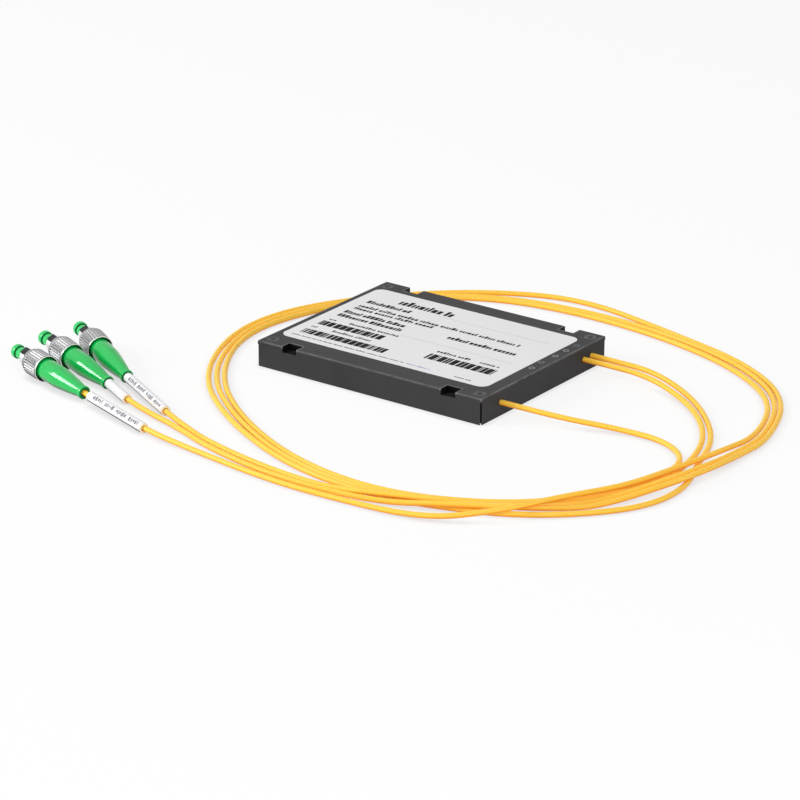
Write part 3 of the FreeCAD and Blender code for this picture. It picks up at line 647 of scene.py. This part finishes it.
# Dust caps: a skirt on the ferrule, a thicker neck, a groove, and a pull head with a crown
capForm = {
    "rear": 34.4, "bore": 1.28, "skirt": 1.95, "neckStart": 37.9, "neck": 2.25, "headStart": 42.4,
    "head": 2.7, "tip": 45.7, "dome": 2.1, "blind": 40.4, "groove": 1.75, "grooveWide": 0.5,
    "shadeMargin": 0.02, "ease": 0.22, "columns": 56, "rows": 16,
}


# Crown: a quarter of an ellipse from the tip to the head's radius, then eased steps back to the bore
def capProfile(form):
    a = np.linspace(0, np.pi / 2, form["rows"])
    crown = np.c_[form["tip"] - form["dome"] * (1 - np.cos(a)), form["head"] * np.sin(a)]
    grooveEnd = form["headStart"] - form["grooveWide"]
    tail = easeCorners([
        crown[-1], (form["headStart"], form["head"]), (form["headStart"], form["groove"]),
        (grooveEnd, form["groove"]), (grooveEnd, form["neck"]), (form["neckStart"], form["neck"]),
        (form["neckStart"], form["skirt"]), (form["rear"], form["skirt"]), (form["rear"], form["bore"]),
        (form["blind"], form["bore"]), (form["blind"], 0)], form["ease"], False)
    return np.vstack([crown[:-1], tail])


def turnCap(name):
    profile = capProfile(capForm)
    middle = (profile[1:] + profile[:-1]) / 2
    halfWide = capForm["grooveWide"] / 2
    # the groove and the rear face of the head take the green painted shade
    shaded = np.abs(middle[:, 0] - capForm["headStart"] + halfWide) < halfWide + capForm["shadeMargin"]
    shaded &= middle[:, 1] < capForm["head"] - capForm["ease"]
    return turnPiece("dustCap" + name.capitalize(), plugAxes[name], profile, capForm["columns"],
                     ("capGreen", "greenPaintedShade"), "cap_" + name, "dust_cap_" + name, shaded,
                     loop=False)


caps = {name: turnCap(name) for name in names}

# Ferrule springs: a small circle carried along a helix and closed to a point at both ends
springForm = {"start": 23.2, "rise": 4.5, "mean": 2.05, "wire": 0.25, "turns": 4, "perTurn": 40, "sides": 10,
              "seat": 22.9, "keep": 0.845}


def windSpring(name):
    origin, forward, side, up = plugAxes[name]
    turns, sides = springForm["turns"], springForm["sides"]
    turn = np.linspace(0, 2 * np.pi * turns, turns * springForm["perTurn"] + 1)[:, None]
    pitch = springForm["rise"] / (2 * np.pi * turns)
    outwards = np.cos(turn) * side + np.sin(turn) * up
    ahead = springForm["mean"] * (np.cos(turn) * up - np.sin(turn) * side) + pitch * forward
    across = np.cross(ahead / np.linalg.norm(ahead, axis=1, keepdims=True), outwards)
    centre = origin + ((springForm["start"] + pitch * turn) * forward + springForm["mean"] * outwards) * mm
    angle = np.linspace(0, 2 * np.pi, sides, endpoint=False)[None, :, None]
    circle = np.cos(angle) * outwards[:, None] + np.sin(angle) * across[:, None]
    tube = centre[:, None] + springForm["wire"] * mm * circle
    ends = np.repeat(centre[[0, -1], None], sides, axis=1)
    points = np.concatenate([ends[:1], tube, ends[1:]])
    faces = gridFaces(len(points), sides, False)
    piece = newPiece("ferruleSpring" + name.capitalize(), points, faces, ("springSteel",), "module")
    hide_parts("ferrule_spring_" + name)
    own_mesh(piece)
    return piece


springs = {name: windSpring(name) for name in names}
print("boots, nuts, caps and springs made")

# Marker sleeves: a thin tube with faint ripples, shrunk on to the cord at its two ends, behind its boot
sleeveForm = {
    "outer": 1.9, "bore": 1.35, "mouth": 0.97, "shrink": 0.5, "ease": 0.4, "rows": 60, "columns": 48,
    "ripple": 0.03, "ripples": 7.0, "endRun": 1.0, "skin": 0.3,
    "front": {"length": 34.5, "bare": 3.6, "backTo": -4},
    "middle": {"length": 15.8, "bare": 0.6, "backTo": -3},
    "rear": {"length": 35.0, "bare": 0.6, "backTo": -4},
}
sleeveAxes = {name: axisFrom(cordLay[name][-2], cordLay[name][sleeveForm[name]["backTo"]]) for name in names}


def sleeveProfile(form, start, length):
    end = start + length
    runStart, runEnd = start + form["endRun"], end - form["endRun"]
    first = easeCorners([(start + form["shrink"], form["bore"]), (start, form["mouth"]),
                         (start, form["outer"]), (runStart, form["outer"])], form["ease"], False)
    last = easeCorners([(runEnd, form["outer"]), (end, form["outer"]), (end, form["mouth"]),
                        (end - form["shrink"], form["bore"])], form["ease"], False)
    run = np.linspace(runStart, runEnd, form["rows"])[1:-1]
    return np.vstack([first, np.c_[run, np.full(len(run), form["outer"])], last])


# Ripples: the outside drops by the sum of a sine along the axis and a sine of two lobes round it
def sleeveWave(stations, radii, angles):
    outer = radii > (sleeveForm["bore"] + sleeveForm["skin"]) * mm
    slow = np.sin(stations / mm * 2 * np.pi / sleeveForm["ripples"])[:, None] + np.sin(2 * angles)[None, :]
    return sleeveForm["ripple"] / 2 * mm * outer * (1 + slow / 2)


def turnSleeve(name):
    form = sleeveForm[name]
    profile = sleeveProfile(sleeveForm, form["bare"], form["length"])
    following = np.roll(profile, -1, axis=0)
    # the end faces take the orange painted reflection
    endFace = np.abs(profile[:, 0] - following[:, 0]) < np.abs(profile[:, 1] - following[:, 1])
    return turnPiece("markerSleeve" + name.capitalize(), sleeveAxes[name], profile, sleeveForm["columns"],
                     ("sleeveWhite", "sleeveEndPaintedReflection"), "module", "marker_sleeve_" + name, endFace,
                     sleeveWave)


sleeves = {name: turnSleeve(name) for name in names}

# Marks on the two long sleeves: curved patches, each a span along the axis and a span of angle
markForm = {
    "groups": 4, "perGroup": 5, "inset": 2.2, "widths": (0.45, 1.3), "gaps": (0.3, 0.5), "groupGap": 2.0,
    "angle": 2.3, "tall": (0.45, 0.85), "wander": 0.08, "across": 6,  # angles in radians
    "raise": 0.015, "thick": 0.02, "seed": {"front": 5, "rear": 9},
}


def markSleeve(name):
    draw = np.random.default_rng(markForm["seed"][name])
    form = sleeveForm[name]
    count = markForm["groups"] * markForm["perGroup"]
    widths = draw.uniform(*markForm["widths"], count)
    opens = np.arange(count) % markForm["perGroup"] == 0  # the first mark of a group
    gaps = np.where(opens, markForm["groupGap"], draw.uniform(*markForm["gaps"], count))
    room = (form["length"] - 2 * markForm["inset"]) / (widths.sum() + gaps.sum())
    ends = np.cumsum((widths + gaps) * room) + form["bare"] + markForm["inset"]
    starts = ends - widths * room
    tall = draw.uniform(*markForm["tall"], count)
    low = markForm["angle"] - tall / 2 + draw.uniform(-markForm["wander"], markForm["wander"], count)
    t = np.linspace(0, 1, markForm["across"])
    angles = low[:, None] + tall[:, None] * t  # marks by angle
    origin, forward, side, up = sleeveAxes[name]
    radius = (sleeveForm["outer"] + markForm["raise"]) * mm
    ring = origin + radius * (np.cos(angles)[..., None] * side + np.sin(angles)[..., None] * up)
    spans = np.stack([starts, ends], axis=1)[:, :, None, None] * mm * forward
    points = ring[:, None] + spans
    step = np.arange(markForm["across"] - 1)[None, :] + np.arange(count)[:, None] * 2 * markForm["across"]
    over = step + markForm["across"]
    faces = np.stack([step, step + 1, over + 1, over], axis=-1).reshape(-1, 4)
    piece = newPiece("sleeveMarks" + name.capitalize(), points, faces, ("sleeveMark",), "module")
    body = piece.modifiers.new("thickness", "SOLIDIFY")
    body.thickness = markForm["thick"] * mm
    body.offset = 0
    return piece


marks = {name: markSleeve(name) for name in markForm["seed"]}
print("sleeves made")

# Moulded rings on the lid beside the label: a small ellipse carried round a circle, half sunk in the lid
ringForm = {
    "places": [(46.9, -3.7), (46.5, 3.2), (46.9, 11.5), (46.9, 18.5), (47.2, 25.0)],  # x, y
    "radius": 0.95, "wide": 0.28, "tall": 0.10, "height": 10.02, "around": 36, "across": 10,
}


def mouldRings(form):
    around = np.linspace(0, 2 * np.pi, form["around"], endpoint=False)[:, None]
    across = np.linspace(0, 2 * np.pi, form["across"], endpoint=False)[None, :]
    reach = form["radius"] + form["wide"] * np.cos(across)
    ring = np.stack(np.broadcast_arrays(reach * np.cos(around), reach * np.sin(around),
                                        form["height"] + form["tall"] * np.sin(across)), axis=-1)
    centres = np.c_[form["places"], np.zeros(len(form["places"]))]
    points = (centres[:, None, None] + ring) * mm
    quads = gridFaces(form["around"], form["across"], True)
    faces = np.arange(len(centres))[:, None, None] * form["around"] * form["across"] + quads
    return newPiece("mouldRings", points, faces.reshape(-1, 4), ("casePlastic",), "module")


mouldRings(ringForm)

# Label print: rows and blocks of plain bars, each bar a thin slab
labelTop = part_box("top_label")[1].z
printForm = {
    "thick": 0.02, "sink": 0.005, "seed": 11,
    "rows": [  # x from, x to, y, height, bar width, gap within a group, bars in a group
        (-31.5, -5.5, 24.0, 4.6, 1.6, 0.5, 10), (-42, -21.4, 17.3, 2.8, 1.2, 0.35, 11),
        (-42, 31, 12.0, 2.3, 1.0, 0.4, 6), (-42, -5.7, 8.9, 2.2, 1.0, 0.4, 6),
        (-42.7, -14.5, 3.8, 2.8, 1.2, 0.35, 6), (4.7, 35.6, 3.9, 2.8, 1.2, 0.35, 6),
        (-42.5, -13.3, -0.5, 2.8, 1.2, 0.35, 9), (-42, -38, -6.5, 1.4, 0.6, 0.4, 3),
        (-33, -10, -6.2, 1.7, 0.75, 0.4, 10), (-42.9, -38.6, -16.4, 1.4, 0.6, 0.4, 3),
        (-33.4, -15.1, -16.2, 1.7, 0.75, 0.4, 9), (10, 25, -10.3, 1.8, 0.8, 0.4, 7),
        (29, 38, -10.4, 1.8, 0.8, 0.4, 6),
    ],
    "blocks": [  # x from, x to, y from, y to
        (-43, -12, -13.4, -8.9), (-43, -2.5, -23.9, -19.4), (9.5, 39.5, -18.8, -13.4),
    ],
    "fine": [(-44, 7.3, -27.0, 0.8), (29.6, 36.8, -27.5, 0.8)],  # x from, x to, y, height
    "blue": [(8.2, 18.6, -27.1, 0.9)],
    "rules": [(-13, 38.5, 20.1, 0.2), (-11, 38.5, -4.6, 0.2)],
    "fineBar": (0.5, 0.25, 6),  # bar width, gap within a group, bars in a group
    "widths": (0.6, 1.4), "spare": 1.6, "groupGap": 3, "tallShare": 0.3, "shortHeight": 0.72,
    "blockBars": 120, "blockWidths": [0.5, 1.0, 1.6, 2.4], "blockGaps": [0.25, 0.35, 0.55],
}


# A row: bars of random widths, some tall and some short, one after another, with a wider gap after each
# group
def barRow(draw, start, end, y, height, width, gap, perGroup):
    count = int((end - start) / (width + gap) * printForm["spare"])
    widths = draw.uniform(*printForm["widths"], count) * width
    closes = np.arange(count) % perGroup == perGroup - 1  # the last bar of a group
    gaps = np.where(closes, printForm["groupGap"] * gap, gap)
    left = start + np.cumsum(np.r_[0, (widths + gaps)[:-1]])
    tall = np.where(draw.random(count) < printForm["tallShare"], height, height * printForm["shortHeight"])
    base = y - height / 2
    bars = np.c_[left, np.full(count, base), left + widths, base + tall]
    return bars[bars[:, 2] < end]


# A block: bars of one height and a few widths, one after another
def barBlock(draw, start, end, low, high):
    count = printForm["blockBars"]
    widths = draw.choice(printForm["blockWidths"], count)
    gaps = draw.choice(printForm["blockGaps"], count)
    left = start + np.cumsum(np.r_[0, (widths + gaps)[:-1]])
    bars = np.c_[left, np.full(count, low), left + widths, np.full(count, high)]
    return bars[bars[:, 2] < end]


# Slabs: eight corners for each bar, from its two plan corners and two heights
def printSlabs(name, bars, finish):
    bars = np.asarray(bars, float) * mm
    low, high = labelTop - printForm["sink"] * mm, labelTop + printForm["thick"] * mm
    x = bars[:, [0, 2, 2, 0, 0, 2, 2, 0]]
    y = bars[:, [1, 1, 3, 3, 1, 1, 3, 3]]
    z = np.broadcast_to([low] * 4 + [high] * 4, x.shape)
    points = np.stack([x, y, z], axis=-1)
    sides = np.array([(0, 3, 2, 1), (4, 5, 6, 7), (0, 1, 5, 4), (1, 2, 6, 5), (2, 3, 7, 6), (3, 0, 4, 7)])
    faces = (np.arange(len(bars))[:, None, None] * 8 + sides).reshape(-1, 4)
    return newPiece(name, points, faces, (finish,), "module")


# Stripes: one bar for each row, half its height below y and half above
def stripes(rows):
    rows = np.asarray(rows, float)
    return np.c_[rows[:, 0], rows[:, 2] - rows[:, 3] / 2, rows[:, 1], rows[:, 2] + rows[:, 3] / 2]


draw = np.random.default_rng(printForm["seed"])
rowBars = [barRow(draw, *row) for row in printForm["rows"]]
blockBars = [barBlock(draw, *block) for block in printForm["blocks"]]
fineBars = [barRow(draw, *row, *printForm["fineBar"]) for row in printForm["fine"]]
blueBars = [barRow(draw, *row, *printForm["fineBar"]) for row in printForm["blue"]]
printSlabs("labelBars", np.vstack(rowBars + blockBars), "printInk")
printSlabs("labelFine", np.vstack(fineBars), "printInk")
printSlabs("labelRules", stripes(printForm["rules"]), "printGrey")
printSlabs("labelBlue", np.vstack(blueBars), "printBlue")
print("label printed")

# For each cord, a list of the pieces that sit on it; the lists are not used further
for name in names:
    carried = [boots[name], nuts[name], caps[name], springs[name], sleeves[name]]
    carried += [part + "_" + name for part in plugFinishes]
    if name in marks:
        carried.append(marks[name])

# Floor and light: a pale floor with faint shadows and a contact shade, a soft sun, two area lamps
# and a white surround
studio = {
    "floorSize": 6.0, "floorTone": (0.93, 0.93, 0.93), "floorRoughness": 0.9, "floorGlow": 0.84,
    "contact": {"reach": 0.003, "shade": 0.80, "closed": 0.4, "samples": 8},
    "ambient": 0.40,
    "sun": {"strength": 0.30, "angle": 60.0, "from": (-0.5, -0.1, 1.0)},
    "lamps": [
        {"power": 6.2, "size": (0.7, 0.7), "place": (0.85, -0.65, 0.75)},
        {"power": 11.6, "size": (0.36, 0.56), "place": (-0.99, -0.757, 0.562)},
    ],
}


# Mask of the camera, glossy and transmitted rays, which see a bright backdrop; other rays see less light
def backdropMask(tree):
    path = put(tree, "LightPath")
    glossy = put(tree, "Math", operation="MAXIMUM")
    seen = put(tree, "Math", operation="MAXIMUM")
    wire(tree, (path.outputs["Is Glossy Ray"], glossy.inputs[0]),
         (path.outputs["Is Transmission Ray"], glossy.inputs[1]),
         (path.outputs["Is Camera Ray"], seen.inputs[0]), (glossy.outputs[0], seen.inputs[1]))
    return seen.outputs[0]


half = studio["floorSize"] / 2
floorMesh = bpy.data.meshes.new("floor")
corners = [(-half, -half, 0), (half, -half, 0), (half, half, 0), (-half, half, 0)]
floorMesh.from_pydata(corners, [], [(0, 1, 2, 3)])
floor = bpy.data.objects.new("floor", floorMesh)
bpy.context.scene.collection.objects.link(floor)
pale = bpy.data.materials.new("paleFloor")
pale.use_nodes = True
tree = pale.node_tree
plain = tree.nodes["Principled BSDF"]
plain.inputs["Base Color"].default_value = (*studio["floorTone"], 1)
plain.inputs["Roughness"].default_value = studio["floorRoughness"]
plain.inputs["Specular IOR Level"].default_value = 0.0
glow = put(tree, "Emission", {"Color": (1, 1, 1, 1)})
share = put(tree, "Math", operation="MULTIPLY")
share.inputs[1].default_value = studio["floorGlow"]
contact = studio["contact"]
near = put(tree, "AmbientOcclusion", {"Distance": contact["reach"]}, samples=contact["samples"])
dim = put(tree, "MapRange", {"From Min": contact["closed"], "From Max": 1.0,
                             "To Min": contact["shade"], "To Max": 1.0})
blendGlow = put(tree, "MixShader")
wire(tree, (backdropMask(tree), share.inputs[0]), (share.outputs[0], blendGlow.inputs["Fac"]),
     (near.outputs["AO"], dim.inputs["Value"]), (dim.outputs["Result"], glow.inputs["Strength"]),
     (plain.outputs["BSDF"], blendGlow.inputs[1]), (glow.outputs["Emission"], blendGlow.inputs[2]),
     (blendGlow.outputs["Shader"], tree.nodes["Material Output"].inputs["Surface"]))
floorMesh.materials.append(pale)

world = bpy.data.worlds.new("studio")
bpy.context.scene.world = world
world.use_nodes = True
tree = world.node_tree
ambient = tree.nodes["Background"]
ambient.inputs["Color"].default_value = (1, 1, 1, 1)
ambient.inputs["Strength"].default_value = studio["ambient"]
white = put(tree, "Background", {"Color": (1, 1, 1, 1), "Strength": 1.0})
choose = put(tree, "MixShader")
wire(tree, (backdropMask(tree), choose.inputs["Fac"]), (ambient.outputs["Background"], choose.inputs[1]),
     (white.outputs["Background"], choose.inputs[2]),
     (choose.outputs["Shader"], tree.nodes["World Output"].inputs["Surface"]))


# A lamp at a place, turned towards the part
def addLamp(name, kind, place):
    lamp = bpy.data.objects.new(name, bpy.data.lights.new(name, kind))
    aim = Vector(place).to_track_quat("Z", "Y").to_matrix().to_4x4()
    lamp.matrix_world = Matrix.Translation(place) @ aim
    bpy.context.scene.collection.objects.link(lamp)
    return lamp.data


sun = addLamp("softSun", "SUN", studio["sun"]["from"])
sun.energy = studio["sun"]["strength"]
sun.angle = np.radians(studio["sun"]["angle"])
for index, form in enumerate(studio["lamps"]):
    lamp = addLamp("areaLamp" + str(index), "AREA", form["place"])
    lamp.shape = "RECTANGLE"
    lamp.size, lamp.size_y = form["size"]
    lamp.energy = form["power"]
print("studio ready")
